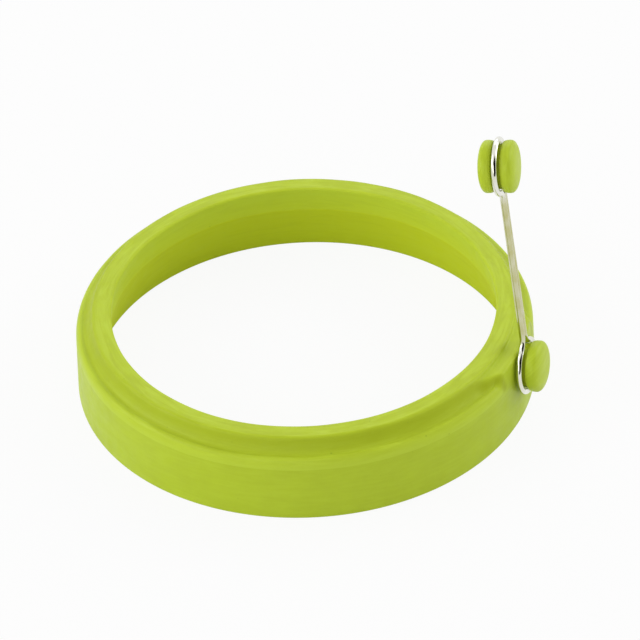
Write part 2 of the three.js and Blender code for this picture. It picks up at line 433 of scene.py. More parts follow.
class Section:
    """The corners of the ring's section, radius across and height up."""

    def __init__(self, sizes):
        self.sizes = sizes
        self.lip_top = sizes.bore_radius + sizes.lip_width
        self.lip_foot = self.lip_top + sizes.lip_slope
        self.wall = self.lip_foot + sizes.shoulder_width
        self.base = self.wall + sizes.wall_draft
        self.ledge = RING_HEIGHT - sizes.lip_rise
        self.pad_top = RING_HEIGHT - sizes.pad_step
        self.pad_wall = self.wall - (self.pad_top - STUD_MIDDLE.z) * math.tan(STUD_TILT)
        self.pad_root = self.lip_top - sizes.pad_root_depth

    def outline(self, shoulder, foot, lip_enters, lip_cut):
        """The section and its surfaces, with the given shoulder, foot and start of the lip."""
        sizes = self.sizes
        band = sizes.bore_radius + sizes.bore_band_flare
        skirt = band + sizes.bore_skirt_flare
        face_height = self.ledge - sizes.shoulder_drop / FACE_SHARE
        face = Vector((self.base - sizes.wall_draft * face_height / self.ledge, face_height))
        face_cut = (self.ledge - sizes.shoulder_drop - face_height) * FACE_SHARE
        edge = sizes.base_edge
        bore = sizes.bore_edge
        bend = sizes.bore_break
        lip_edge = Vector((self.lip_top, RING_HEIGHT))
        bore_edge = Vector((sizes.bore_radius, RING_HEIGHT))
        bore_break = Vector((band, RING_HEIGHT - sizes.bore_band_height))
        return rounded_outline(
            [
                Corner(Vector((skirt, 0.0)), edge, edge, SKIRT, BASE, steps=4),
                Corner(Vector((self.base, 0.0)), edge, edge, BASE, WALL, steps=12),
                Corner(face, face_cut, face_cut, WALL, WALL, steps=4),
                shoulder,
                foot,
                Corner(lip_edge, lip_cut, sizes.lip_edge, lip_enters, LIP, steps=6),
                Corner(bore_edge, bore, bore, LIP, BAND_HIGH, steps=7),
                Corner(bore_break, bend, bend, BAND_LOW, SKIRT, steps=11),
            ]
        )

    def plain(self):
        """The section away from the pad, with its low shoulder."""
        sizes = self.sizes
        shoulder = Vector((self.wall, self.ledge))
        foot = Vector((self.lip_foot, self.ledge))
        drop = sizes.shoulder_drop
        return self.outline(
            Corner(shoulder, drop, sizes.shoulder_round, LEDGE_LINE, LEDGE, steps=4),
            Corner(foot, sizes.lip_foot, sizes.lip_foot_rise, LEDGE_FOOT, LIP_FOOT, steps=5),
            lip_enters=LIP_SIDE,
            lip_cut=sizes.lip_edge,
        )

    def padded(self):
        """The section through the pad, whose top is nearly as high as the lip."""
        sizes = self.sizes
        edge = Vector((self.pad_wall, self.pad_top))
        spread = sizes.lip_slope * sizes.pad_step / sizes.lip_rise
        foot = Vector((self.lip_top + spread, self.pad_top))
        side = math.hypot(sizes.pad_step, spread)
        return self.outline(
            Corner(edge, sizes.pad_edge, sizes.pad_edge, WALL, PAD, steps=4),
            Corner(foot, sizes.lip_foot, side * PAD_FOOT_SHARE, PAD, PAD, steps=5),
            lip_enters=PAD,
            lip_cut=side * PAD_LIP_SHARE,
        )

    def pad_weight(self, radius, turn):
        """1 on the pad and 0 off it, with a smooth side between, at a place on the plan."""
        sizes = self.sizes
        inward = (self.pad_wall - radius) / (self.pad_wall - self.pad_root)
        spread = (sizes.pad_root_half_width - sizes.pad_half_width) * inward
        half_width = sizes.pad_half_width + spread
        side = sizes.pad_side * half_width / sizes.pad_half_width
        past = (abs(radius * math.sin(turn)) - half_width) / side
        return 1.0 - smooth_step(past, PAD_SIDE_START_SHARE, PAD_SIDE_END_SHARE)


def ring_turns():
    """Angles round the ring, counted from the stud, closer together beside the pad."""
    fine = round(FINE_REACH / FINE_STEP)
    coarse = round((math.pi - FINE_REACH) / COARSE_STEP)
    half = [index * FINE_STEP for index in range(fine)]
    rest = math.pi - fine * FINE_STEP
    half += [fine * FINE_STEP + rest * index / coarse for index in range(coarse)]
    return half + [math.pi] + [-turn for turn in reversed(half[1:])]


def wander(turn, start):
    """A slow, smooth and seamless wave round the ring, from -1 to 1."""
    return sum(
        part * math.sin(count * turn + start * count * count) for count, part in EDGE_WAVE_SHARES
    )


def ring_mesh(sizes):
    """The hoop and its pad as one skin: a section is carried round and blended into the pad's."""
    section = Section(sizes)
    plain, plain_surfaces = section.plain()
    padded, padded_surfaces = section.padded()
    inner = sizes.bore_radius + sizes.bore_edge
    outer = section.lip_top - sizes.lip_edge
    rings = []
    surfaces = []
    for turn in ring_turns():
        facing = abs(turn) < math.pi / 2
        lip_sink = sizes.unevenness * (1.0 + wander(turn, LIP_WAVE_START)) / 2
        bore_shift = sizes.unevenness * wander(turn, BORE_WAVE_START) / 2
        edge_shift = sizes.unevenness * wander(turn, OUTER_WAVE_START) / 2
        ring = []
        for index, (low, high) in enumerate(zip(plain, padded)):
            weight = section.pad_weight(high.x, turn) if facing else 0.0
            point = low.lerp(high, weight)
            height = point.y / RING_HEIGHT
            outward = smooth_step(point.x, inner, outer)
            radius = point.x + (bore_shift + (edge_shift - bore_shift) * outward) * height * height
            up = point.y - lip_sink * height**4
            ring.append((RING_CENTRE.x + radius * math.cos(turn), radius * math.sin(turn), up))
            kind = plain_surfaces[index].lerp(padded_surfaces[index], weight)
            # 1 halfway down the pad's side, outside the lip, and 0 where there is no side; it lays
            # painted shade there
            slope = 4.0 * weight * (1.0 - weight) * smooth_step(point.x, outer, section.lip_foot)
            kind.x += (PAD_SIDE_PAINTED_LIGHT_LEVEL - kind.x) * slope * smooth_step(high.y - low.y, 0.0, MM)
            surfaces.append(kind)
        rings.append(ring)
    return mesh_of("ring_moulding", *loft(rings, closed=True), {SURFACE: surfaces})


# Turned shapes

# Surfaces of the lobes: painted shade in the groove, at the stud's root and on a lobe's inner edge,
# and painted light on its side and dome
GROOVE = surface(0.0, 0.0, 1.0)
LOBE_EDGE = surface(0.8, 0.5, 1.0)
LOBE_SIDE = surface(1.1, 0.8, 1.0)
LOBE_DOME = surface(1.4, 0.8, 1.0)


def lobe_outline(sizes):
    """Half of a spool: from the neck out along a lobe's face, round its edge and over its dome."""
    wire_radius = sizes.wire_diameter / 2
    neck = sizes.loop_radius - wire_radius - sizes.neck_clearance
    face = wire_radius + sizes.groove_clearance
    widest = face + sizes.lobe_edge_depth
    edge = Vector((sizes.lobe_radius - sizes.lobe_edge, face))
    outline = [Vector((neck, face))]
    outline += curved(edge, Vector((sizes.lobe_radius, face)), Vector((sizes.lobe_radius, widest)))
    surfaces = [GROOVE] + evenly(LOBE_EDGE, LOBE_SIDE, CORNER_STEPS)
    power = 2.0 / sizes.dome_fullness
    for step in range(DOME_STEPS):
        part = math.pi / 2 * step / DOME_STEPS
        across = sizes.lobe_radius * math.cos(part) ** power
        outline.append(Vector((across, widest + sizes.lobe_dome * math.sin(part) ** power)))
        surfaces.append(LOBE_SIDE.lerp(LOBE_DOME, step / DOME_STEPS))
    outline.append(Vector((0.0, widest + sizes.lobe_dome)))
    surfaces.append(LOBE_DOME)
    return outline, surfaces


def turned_mesh(name, outline, surfaces, middle, axis):
    """A shape turned about an axis. Its outline gives distance from the axis and along it."""
    across = axis.orthogonal().normalized()
    beside = axis.cross(across)
    rings = []
    for radius, along in outline:
        ring = []
        for side in range(TURNED_SIDES):
            turn = 2 * math.pi * side / TURNED_SIDES
            spoke = across * math.cos(turn) + beside * math.sin(turn)
            ring.append(middle + axis * along + spoke * radius)
        rings.append(ring)
    spread = [kind for kind in surfaces for side in range(TURNED_SIDES)]
    return mesh_of(name, *loft(rings, closed=False), {SURFACE: spread})


def stud_mesh(ring, sizes):
    """The stud's neck and head. Its root lies inside the lip."""
    outline, surfaces = lobe_outline(sizes)
    lip_top = ring.bore_radius + ring.lip_width
    root = RING_CENTRE.x + lip_top - sizes.stud_root_depth - STUD_MIDDLE.x
    neck = outline[0].x
    outline = [Vector((0.0, root)), Vector((neck, root))] + outline
    return turned_mesh("stud", outline, [GROOVE, GROOVE] + surfaces, STUD_MIDDLE, STUD_AXIS)


def knob_mesh(sizes):
    """A spool: two lobes with the groove for the upper loop between them."""
    lobe, surfaces = lobe_outline(sizes)
    outline = [Vector((point.x, -point.y)) for point in reversed(lobe)] + lobe
    surfaces = surfaces[::-1] + surfaces
    return turned_mesh("knob_spool", outline, surfaces, KNOB_MIDDLE, KNOB_AXIS)


def join_solids(base, added):
    """Makes one skin of two closed objects, each with its own surfaces, and removes the second."""
    kinds = []
    for part in (base, added):
        values = part.data.attributes[SURFACE].data
        for vertex in part.data.vertices:
            kinds.append((vertex.co.copy(), values[vertex.index].vector.copy()))
    nearest = KDTree(len(kinds))
    for index, (place, _) in enumerate(kinds):
        nearest.insert(place, index)
    nearest.balance()
    join = base.modifiers.new("join", "BOOLEAN")
    join.operation = "UNION"
    join.solver = "EXACT"
    join.object = added
    bpy.context.view_layer.update()
    evaluated = base.evaluated_get(bpy.context.evaluated_depsgraph_get())
    joined = bpy.data.meshes.new_from_object(evaluated)
    base.modifiers.clear()
    base.data = joined
    bpy.data.objects.remove(added)
    tidy_mesh(base.data)
    values = joined.attributes[SURFACE].data
    for vertex in joined.vertices:
        _, closest, _ = nearest.find(vertex.co)
        values[vertex.index].vector = kinds[closest][1]


# Wire


def arc(middle, radius, start, end):
    """Points along an arc in the wire's plane, across and up, without the last one."""
    steps = max(2, math.ceil(radius * abs(end - start) / WIRE_STEP))
    turns = [start + (end - start) * step / steps for step in range(steps)]
    return [middle + radius * Vector((math.cos(turn), math.sin(turn))) for turn in turns]


def leg(side, start, end):
    """Points along a leg of the shank, without the last one."""
    steps = math.ceil(abs(end - start) / WIRE_STEP)
    return evenly(Vector((side, start)), Vector((side, end)), steps)


def wire_line(sizes):
    """The wire's middle line in its own plane, across the loops and up the shank."""
    across = (sizes.wire_diameter + sizes.leg_gap) / 2 + sizes.loop_fillet
    up = math.sqrt((sizes.loop_radius + sizes.loop_fillet) ** 2 - across**2)
    split = math.atan2(up, across)
    end = sizes.wire_end_gap / 2 / sizes.loop_radius
    side = across - sizes.loop_fillet
    half_turn = math.pi
    quarter = math.pi / 2
    low = Vector((0.0, 0.0))
    high = Vector((0.0, LOOP_SPACING))
    right = Vector((across, 0.0))
    bottom = Vector((0.0, up))
    top = Vector((0.0, LOOP_SPACING - up))
    loop = sizes.loop_radius
    fillet = sizes.loop_fillet
    line = arc(low, loop, end - quarter, split)
    line += arc(right + bottom, fillet, split + half_turn, half_turn)
    line += leg(side, up, LOOP_SPACING - up)
    line += arc(right + top, fillet, half_turn, half_turn - split)
    line += arc(high, loop, -split, half_turn + split)
    line += arc(top - right, fillet, split, 0.0)
    line += leg(-side, LOOP_SPACING - up, up)
    line += arc(bottom - right, fillet, 0.0, -split)
    line += arc(low, loop, half_turn - split, half_turn + quarter - end)
    last = half_turn + quarter - end
    return line + [loop * Vector((math.cos(last), math.sin(last)))]


def place_in_handle(across, up, loop):
    """A point of the wire's plane in the part's frame, turned a little as it goes up the shank."""
    turn = LOOP_TWIST * smooth_step(up, loop, LOOP_SPACING - loop)
    sideways = SHANK_AXIS.cross(STUD_AXIS)
    out = STUD_AXIS * (-across * math.sin(turn))
    return STUD_MIDDLE + out + sideways * (across * math.cos(turn)) + SHANK_AXIS * up


def wire_mesh(sizes):
    """A round tube along the wire's line, with its cut ends a little rounded."""
    line = [place_in_handle(point.x, point.y, sizes.loop_radius) for point in wire_line(sizes)]
    radius = sizes.wire_diameter / 2
    stations = []
    travelled = 0.0
    for index, point in enumerate(line):
        before = line[max(index - 1, 0)]
        after = line[min(index + 1, len(line) - 1)]
        if index:
            travelled += (point - before).length
        stations.append((point, (after - before).normalized(), radius, travelled))
    stations = rounded_end(stations[0], -1, sizes)[::-1] + stations
    stations += rounded_end(stations[-1], 1, sizes)
    reach = sizes.loop_radius
    bend = reach + sizes.loop_fillet
    rings = []
    lay = []
    shares = []
    for point, tangent, size, along in stations:
        out = (STUD_AXIS - tangent * tangent.dot(STUD_AXIS)).normalized()
        beside = tangent.cross(out)
        up = (point - STUD_MIDDLE).dot(SHANK_AXIS)
        part = smooth_step(up, reach, bend) * smooth_step(LOOP_SPACING - up, reach, bend)
        ring = []
        for side in range(WIRE_SIDES):
            turn = 2 * math.pi * side / WIRE_SIDES
            ring.append(point + (out * math.cos(turn) + beside * math.sin(turn)) * size)
            lay.append((radius * math.cos(turn), radius * math.sin(turn), along))
            shares.append(part)
        rings.append(ring)
    values = {WIRE_LAY: lay, WIRE_SHANK: shares}
    return mesh_of("bent_wire", *loft(rings, closed=False), values)


def rounded_end(station, way, sizes):
    """Stations past an end of the wire, each a little thinner than the last."""
    point, tangent, radius, along = station
    added = []
    for step in range(1, END_STEPS + 1):
        part = math.pi / 2 * step / END_STEPS
        reach = sizes.wire_end_round * math.sin(part)
        size = radius - sizes.wire_end_round * (1.0 - math.cos(part))
        added.append((point + tangent * way * reach, tangent, size, along + way * reach))
    return added


# Nodes

# Sockets of a mix node that belong to its two colours and their mixture
MIX_FIRST = 6
MIX_SECOND = 7
MIX_RESULT = 2

# How the nodes of a tree are set out, in the editor's own units
NODE_COLUMNS = 6
NODE_WIDTH = 220
NODE_HEIGHT = 320


def node(tree, kind, inputs=None, **settings):
    """A shader node. An input is a constant, or the socket that it is linked from."""
    made = tree.nodes.new(kind)
    for name, value in settings.items():
        setattr(made, name, value)
    for name, value in (inputs or {}).items():
        if isinstance(value, bpy.types.NodeSocket):
            tree.links.new(value, made.inputs[name])
        else:
            made.inputs[name].default_value = value
    return made


def new_group(name, inputs, outputs):
    """An empty node group with named sockets. Returns its tree and its two end nodes."""
    earlier = bpy.data.node_groups.get(name)
    if earlier:
        bpy.data.node_groups.remove(earlier)
    tree = bpy.data.node_groups.new(name, "ShaderNodeTree")
    for label, kind, default in inputs:
        socket = tree.interface.new_socket(label, in_out="INPUT", socket_type=kind)
        if default is not None:
            socket.default_value = default
    for label, kind in outputs:
        tree.interface.new_socket(label, in_out="OUTPUT", socket_type=kind)
    start = tree.nodes.new("NodeGroupInput")
    end = tree.nodes.new("NodeGroupOutput")
    return tree, start.outputs, end.inputs


def arrange(tree):
    """Sets the nodes out in rows, so that the tree can be read."""
    for index, item in enumerate(tree.nodes):
        row, column = divmod(index, NODE_COLUMNS)
        item.location = (column * NODE_WIDTH, -row * NODE_HEIGHT)


def maths(tree, operation, *values, clamped=False):
    """The result of a sum on constants and sockets."""
    inputs = dict(enumerate(values))
    made = node(tree, "ShaderNodeMath", inputs, operation=operation, use_clamp=clamped)
    return made.outputs[0]


def between(tree, value, start, end, low, high):
    """Goes from low, where a value is at the start, to high at the end, and no further."""
    ends = {"From Min": start, "From Max": end, "To Min": low, "To Max": high}
    return node(tree, "ShaderNodeMapRange", {"Value": value, **ends}).outputs[0]


def noise(tree, place, scale, **look):
    """Smooth noise at a place, from 0 to 1."""
    inputs = {"Vector": place, "Scale": scale}
    for name, value in look.items():
        inputs[name.capitalize()] = value
    return node(tree, "ShaderNodeTexNoise", inputs).outputs["Fac"]


def mixed(tree, factor, first, second):
    """A colour between two others, by a factor."""
    inputs = {0: factor, MIX_FIRST: first, MIX_SECOND: second}
    return node(tree, "ShaderNodeMix", inputs, data_type="RGBA").outputs[MIX_RESULT]


def group_node(tree, name, inputs):
    """The outputs of a shared node group that is given its own values."""
    return node(tree, "ShaderNodeGroup", inputs, node_tree=bpy.data.node_groups[name]).outputs


# Stretches of noise: where it mostly lies, and where it shows as mottling, pale and deep streaks
NOISE_ENDS = (0.3, 0.7)
MOTTLED_ENDS = (0.35, 0.7)
PALE_ENDS = (0.48, 0.66)
DEEP_ENDS = (0.5, 0.34)

# How close the noise lies for each metre: the silicone's mottling and waves, the wire's patches
MOTTLING_SCALE = 150.0
WAVE_SCALE = 420.0
PATCH_SCALE = 260.0

# Silicone: how high its waves, grain and streaks stand, as shares of the bump's distance
WAVE_HEIGHT = 0.55
GRAIN_HEIGHT = 0.3
STREAK_HEIGHT = 0.5

# Silicone: its roughness where it is glossy, from least to most, and what a matt place adds
SMOOTHEST = 0.36
ROUGHEST = 0.5
MATT_ROUGHNESS = 0.4

# Silicone: how strong the mottling is, the share of cells without a speck, and a speck's soft edge
MOTTLING = 0.6
CELLS_LEFT_OUT = 0.82
SPECK_EDGE = 0.04

# Streaks of the silicone for each metre, round the axis and across it
RING_STREAKS = (90.0, 750.0)
KNOB_STREAKS = (300.0, 1800.0)

# Wire: drawn lines for each metre, round it and along it
WIRE_LINES = 4200.0
WIRE_LINES_ALONG = 160.0

# Wire: how dull its patches are, what the shank adds to that as a painted reflection of the green
# ring, and its roughness
LEAST_DULL = 0.1
MOST_DULL = 0.5
SHANK_DULL_AND_PAINTED_REFLECTION = 0.6
WIRE_SMOOTHEST = 0.06
WIRE_ROUGHEST = 0.16


def build_flow_group():
    """Streaks that run round a turned or moulded shape whose axis is Z."""
    tree, given, result = new_group(
        "Moulding flow",
        [
            ("Vector", "NodeSocketVector", None),
            ("Along", "NodeSocketFloat", 120.0),
            ("Across", "NodeSocketFloat", 1400.0),
        ],
        [("Streaks", "NodeSocketFloat"), ("Mottling", "NodeSocketFloat")],
    )
    parts = node(tree, "ShaderNodeSeparateXYZ", {0: given["Vector"]}).outputs
    flat = node(tree, "ShaderNodeCombineXYZ", {"X": parts["X"], "Y": parts["Y"]}).outputs[0]
    radius = node(tree, "ShaderNodeVectorMath", {0: flat}, operation="LENGTH").outputs["Value"]
    slope = maths(tree, "SUBTRACT", radius, parts["Z"])
    across = maths(tree, "MULTIPLY", slope, given["Across"])
    stretch = {0: flat, "Scale": given["Along"]}
    around = node(tree, "ShaderNodeVectorMath", stretch, operation="SCALE").outputs[0]
    rise = node(tree, "ShaderNodeCombineXYZ", {"Z": across}).outputs[0]
    place = node(tree, "ShaderNodeVectorMath", {0: around, 1: rise}, operation="ADD").outputs[0]
    streaks = noise(tree, place, 1.0, detail=4.0, roughness=0.6, distortion=0.9)
    mottling = noise(tree, given["Vector"], MOTTLING_SCALE, detail=5.0, roughness=0.65)
    tree.links.new(streaks, result["Streaks"])
    tree.links.new(mottling, result["Mottling"])
    arrange(tree)
    return tree


def build_grain_group():
    """The fine matt grain that a mould leaves, and the softer waves under it."""
    tree, given, result = new_group(
        "Mould grain",
        [
            ("Vector", "NodeSocketVector", None),
            ("Streaks", "NodeSocketFloat", 0.5),
            ("Grain", "NodeSocketFloat", 5000.0),
        ],
        [("Height", "NodeSocketFloat"), ("Roughness", "NodeSocketFloat")],
    )
    fine = noise(tree, given["Vector"], given["Grain"], detail=2.0, roughness=0.5)
    waves = noise(tree, given["Vector"], WAVE_SCALE, detail=3.0, roughness=0.55)
    low = between(tree, waves, 0.0, 1.0, 0.0, WAVE_HEIGHT)
    both = maths(tree, "MULTIPLY_ADD", fine, GRAIN_HEIGHT, low)
    height = maths(tree, "MULTIPLY_ADD", given["Streaks"], STREAK_HEIGHT, both)
    gloss = between(tree, waves, *NOISE_ENDS, SMOOTHEST, ROUGHEST)
    tree.links.new(height, result["Height"])
    tree.links.new(gloss, result["Roughness"])
    arrange(tree)
    return tree


def build_speck_group():
    """Small, sparse specks, each a different size."""
    tree, given, result = new_group(
        "Specks",
        [
            ("Vector", "NodeSocketVector", None),
            ("Density", "NodeSocketFloat", 520.0),
            ("Size", "NodeSocketFloat", 0.14),
        ],
        [("Mask", "NodeSocketFloat")],
    )
    cells = node(
        tree,
        "ShaderNodeTexVoronoi",
        {"Vector": given["Vector"], "Scale": given["Density"], "Randomness": 1.0},
    ).outputs
    chosen = node(tree, "ShaderNodeSeparateColor", {0: cells["Color"]}).outputs[0]
    few = between(tree, chosen, CELLS_LEFT_OUT, 1.0, 0.0, 1.0)
    reach = maths(tree, "MULTIPLY", few, given["Size"])
    inside = maths(tree, "SUBTRACT", reach, cells["Distance"])
    mask = between(tree, inside, 0.0, SPECK_EDGE, 0.0, 1.0)
    tree.links.new(mask, result["Mask"])
    arrange(tree)
    return tree


def new_material(name):
    """A material of that name without nodes, in place of an earlier one."""
    earlier = bpy.data.materials.get(name)
    if earlier:
        bpy.data.materials.remove(earlier)
    made = bpy.data.materials.new(name)
    made.use_nodes = True
    made.node_tree.nodes.clear()
    return made


def solid(values):
    """A colour socket's value, with its alpha."""
    return (*values, 1.0)


def build_silicone_group():
    """The look of the silicone: streaked, speckled, with painted shade where it is hollow and painted
    light on open and matt places.
    """
    tree, given, result = new_group(
        "Moulded silicone",
        [
            ("Vector", "NodeSocketVector", None),
            ("Surface", "NodeSocketVector", None),
            ("Along", "NodeSocketFloat", 90.0),
            ("Across", "NodeSocketFloat", 1500.0),
            ("Body", "NodeSocketColor", None),
            ("Pale", "NodeSocketColor", None),
            ("Deep", "NodeSocketColor", None),
            ("Matt painted light", "NodeSocketColor", None),
            ("Speck", "NodeSocketColor", None),
            ("Painted shade", "NodeSocketColor", None),
            ("Streaks", "NodeSocketFloat", 0.5),
            ("Specks", "NodeSocketFloat", 0.3),
        ],
        [
            ("Color", "NodeSocketColor"),
            ("Roughness", "NodeSocketFloat"),
            ("Height", "NodeSocketFloat"),
        ],
    )
    kind = node(tree, "ShaderNodeSeparateXYZ", {0: given["Surface"]}).outputs
    painted_light_level, streaked, glossy = kind["X"], kind["Y"], kind["Z"]
    lay = {label: given[label] for label in ("Vector", "Along", "Across")}
    flow = group_node(tree, "Moulding flow", lay)
    drawn = maths(tree, "MULTIPLY", flow["Streaks"], streaked)
    grain = group_node(tree, "Mould grain", {"Vector": given["Vector"], "Streaks": drawn})
    specks = group_node(tree, "Specks", {"Vector": given["Vector"]})
    mottled = between(tree, flow["Mottling"], *MOTTLED_ENDS, 0.0, MOTTLING)
    pale_streaks = between(tree, flow["Streaks"], *PALE_ENDS, 0.0, given["Streaks"])
    pale_streaks = maths(tree, "MULTIPLY", pale_streaks, streaked)
    deep_streaks = between(tree, flow["Streaks"], *DEEP_ENDS, 0.0, given["Streaks"])
    deep_streaks = maths(tree, "MULTIPLY", deep_streaks, streaked)
    speckled = maths(tree, "MULTIPLY", specks["Mask"], given["Specks"])
    speckled = maths(tree, "MULTIPLY", speckled, streaked)
    # Painted shade where a surface's first number is below 1, painted light where it is above 1, and
    # painted light in the lighter matt colour where the silicone is less glossy
    hollow = between(tree, painted_light_level, 0.0, 1.0, 1.0, 0.0)
    painted_light_share = between(tree, painted_light_level, 1.0, 2.0, 0.0, 1.0)
    matt_painted_light_share = between(tree, glossy, 0.0, 1.0, 1.0, 0.0)
    body = mixed(tree, mottled, given["Body"], given["Deep"])
    body = mixed(tree, matt_painted_light_share, body, given["Matt painted light"])
    body = mixed(tree, pale_streaks, body, given["Pale"])
    body = mixed(tree, deep_streaks, body, given["Deep"])
    body = mixed(tree, painted_light_share, body, given["Pale"])
    body = mixed(tree, hollow, body, given["Painted shade"])
    body = mixed(tree, speckled, body, given["Speck"])
    matt = between(tree, glossy, 0.0, 1.0, MATT_ROUGHNESS, 0.0)
    rough = maths(tree, "ADD", grain["Roughness"], matt)
    tree.links.new(body, result["Color"])
    tree.links.new(rough, result["Roughness"])
    tree.links.new(grain["Height"], result["Height"])
    arrange(tree)
    return tree


def silicone_material(name, finishes, middle, axis, streaks):
    """Satin silicone with streaks that run round the given axis."""
    made = new_material(name)
    tree = made.node_tree
    turn = axis.to_track_quat("Z", "Y").to_euler()
    place = node(tree, "ShaderNodeTexCoord").outputs["Object"]
    local = node(
        tree,
        "ShaderNodeMapping",
        {"Vector": place, "Location": middle, "Rotation": turn},
        vector_type="TEXTURE",
    ).outputs[0]
    kind = node(tree, "ShaderNodeAttribute", attribute_name=SURFACE).outputs["Vector"]
    look = group_node(
        tree,
        "Moulded silicone",
        {
            "Vector": local,
            "Surface": kind,
            "Along": streaks[0],
            "Across": streaks[1],
            "Body": solid(finishes.body),
            "Pale": solid(finishes.pale),
            "Deep": solid(finishes.deep),
            "Matt painted light": solid(finishes.matt),
            "Speck": solid(finishes.speck),
            "Painted shade": solid(finishes.hollow),
            "Streaks": finishes.streaks,
            "Specks": finishes.specks,
        },
    )
    bump = node(
        tree,
        "ShaderNodeBump",
        {"Height": look["Height"], "Strength": 0.35, "Distance": 0.12 * MM},
    )
    shader = node(
        tree,
        "ShaderNodeBsdfPrincipled",
        {
            "Base Color": look["Color"],
            "Roughness": look["Roughness"],
            "IOR": 1.43,
            "Specular IOR Level": 0.3,
            "Subsurface Weight": 0.12,
            "Subsurface Radius": (1.0, 1.0, 0.3),
            "Subsurface Scale": 1.2 * MM,
            "Normal": bump.outputs[0],
        },
    )
    node(tree, "ShaderNodeOutputMaterial", {"Surface": shader.outputs[0]})
    arrange(tree)
    return made


def wire_material(finishes):
    """Bright drawn wire with fine lines along it and dull patches, duller on the shank, where the
    dull colour is a painted reflection of the green ring.
    """
    made = new_material("Bright wire")
    tree = made.node_tree
    lay = node(tree, "ShaderNodeAttribute", attribute_name=WIRE_LAY).outputs["Vector"]
    shank = node(tree, "ShaderNodeAttribute", attribute_name=WIRE_SHANK).outputs["Fac"]
    drawn = {"Vector": lay, "Scale": (WIRE_LINES, WIRE_LINES, WIRE_LINES_ALONG)}
    stretched = node(tree, "ShaderNodeMapping", drawn).outputs[0]
    lines = noise(tree, stretched, 1.0, detail=3.0)
    patches = noise(tree, lay, PATCH_SCALE, detail=4.0)
    patchy = between(tree, patches, *NOISE_ENDS, LEAST_DULL, MOST_DULL)
    # On the shank the extra dull colour is a painted reflection of the green ring
    dull = maths(tree, "MULTIPLY_ADD", shank, SHANK_DULL_AND_PAINTED_REFLECTION, patchy, clamped=True)
    metal = mixed(tree, dull, solid(finishes.wire_bright), solid(finishes.wire_dull_and_painted_reflection))
    gloss = between(tree, lines, *NOISE_ENDS, WIRE_SMOOTHEST, WIRE_ROUGHEST)
    bump = node(
        tree, "ShaderNodeBump", {"Height": lines, "Strength": 0.15, "Distance": 0.01 * MM}
    )
    shader = node(
        tree,
        "ShaderNodeBsdfPrincipled",
        {
            "Base Color": metal,
            "Metallic": 1.0,
            "Roughness": gloss,
            "Normal": bump.outputs[0],
        },
    )
    node(tree, "ShaderNodeOutputMaterial", {"Surface": shader.outputs[0]})
    arrange(tree)
    return made


# Stage


def looked_at(tree):
    """1 for what is seen straight on, in a reflection or through something clear, and otherwise 0."""
    path = node(tree, "ShaderNodeLightPath").outputs
    seen = maths(tree, "MAXIMUM", path["Is Camera Ray"], path["Is Glossy Ray"])
    return maths(tree, "MAXIMUM", seen, path["Is Transmission Ray"])


def floor_material():
    """A pale floor that looks white, but keeps the object's shadow."""
    made = new_material("Pale floor")
    tree = made.node_tree
    glow = maths(tree, "MULTIPLY", looked_at(tree), FLOOR_GLOW)
    matt = node(tree, "ShaderNodeBsdfDiffuse", {"Color": solid(FLOOR_COLOUR)}).outputs[0]
    white = node(tree, "ShaderNodeEmission", {"Color": solid(WHITE), "Strength": 1.0}).outputs[0]
    both = node(tree, "ShaderNodeMixShader", {0: glow, 1: matt, 2: white}).outputs[0]
    node(tree, "ShaderNodeOutputMaterial", {"Surface": both})
    arrange(tree)
    return made


def from_viewer(bearing, height, distance, turn):
    """A place at a distance from the ring, with its bearing from the camera and its height."""
    lift = math.radians(height)
    side = math.radians(bearing)
    flat = distance * math.cos(lift)
    rise = distance * math.sin(lift)
    place = Vector((flat * math.sin(side), -flat * math.cos(side), rise))
    return RING_CENTRE + Matrix.Rotation(turn, 3, "Z") @ place


def face_ring(thing, place):
    """Puts a lamp or a card at a place, with its lit face to the ring."""
    thing.location = place
    thing.rotation_euler = (RING_CENTRE - place).to_track_quat("-Z", "Y").to_euler()


def add_lamps(turn):
    """The soft lamps round the ring, for a camera at the given turn."""
    for name, (bearing, height, distance, width, depth, power) in LAMPS.items():
        lamp = bpy.data.lights.new(name, "AREA")
        lamp.shape = "RECTANGLE"
        lamp.size = width
        lamp.size_y = depth
        lamp.energy = power
        face_ring(new_object(name, lamp), from_viewer(bearing, height, distance, turn))


def flat_object(name, width, depth, height, material):
    """A flat rectangle with a material."""
    corners = [(-width, -depth), (width, -depth), (width, depth), (-width, depth)]
    mesh = bpy.data.meshes.new(name)
    mesh.from_pydata([(x / 2, y / 2, height) for x, y in corners], [], [(0, 1, 2, 3)])
    mesh.materials.append(material)
    return new_object(name, mesh)


def add_cards(turn):
    """The dark card that only reflections show, for a camera at the given turn."""
    matt = new_material("Dark card")
    dark = node(matt.node_tree, "ShaderNodeBsdfDiffuse", {"Color": solid(CARD_COLOUR)})
    node(matt.node_tree, "ShaderNodeOutputMaterial", {"Surface": dark.outputs[0]})
    for name, (bearing, height, distance, width, depth) in CARDS.items():
        card = flat_object(name, width, depth, 0.0, matt)
        face_ring(card, from_viewer(bearing, height, distance, turn))
        card.visible_camera = False
        card.visible_diffuse = False
        card.visible_shadow = False
        card.visible_transmission = False


def add_floor(size):
    """The square floor, just under the ring."""
    floor = flat_object("floor", size, size, -FLOOR_DROP, floor_material())


def add_camera(stage):
    """The camera, as it was fitted to the photograph."""
    camera = bpy.data.cameras.new("camera")
    camera.sensor_fit = "HORIZONTAL"
    camera.sensor_width = stage.sensor_width
    camera.lens = stage.focal_length
    made = new_object("camera", camera)
    rotation = (
        Matrix.Rotation(stage.camera_turn, 3, "Z")
        @ Matrix.Rotation(math.pi / 2 - stage.camera_height, 3, "X")
        @ Matrix.Rotation(-stage.camera_yaw, 3, "Y")
        @ Matrix.Rotation(-stage.camera_pitch, 3, "X")
        @ Matrix.Rotation(-stage.camera_roll, 3, "Z")
    )
    height = math.degrees(stage.camera_height)
    place = from_viewer(0.0, height, stage.camera_distance, stage.camera_turn)
    made.matrix_world = Matrix.Translation(place) @ rotation.to_4x4()
    bpy.context.scene.camera = made


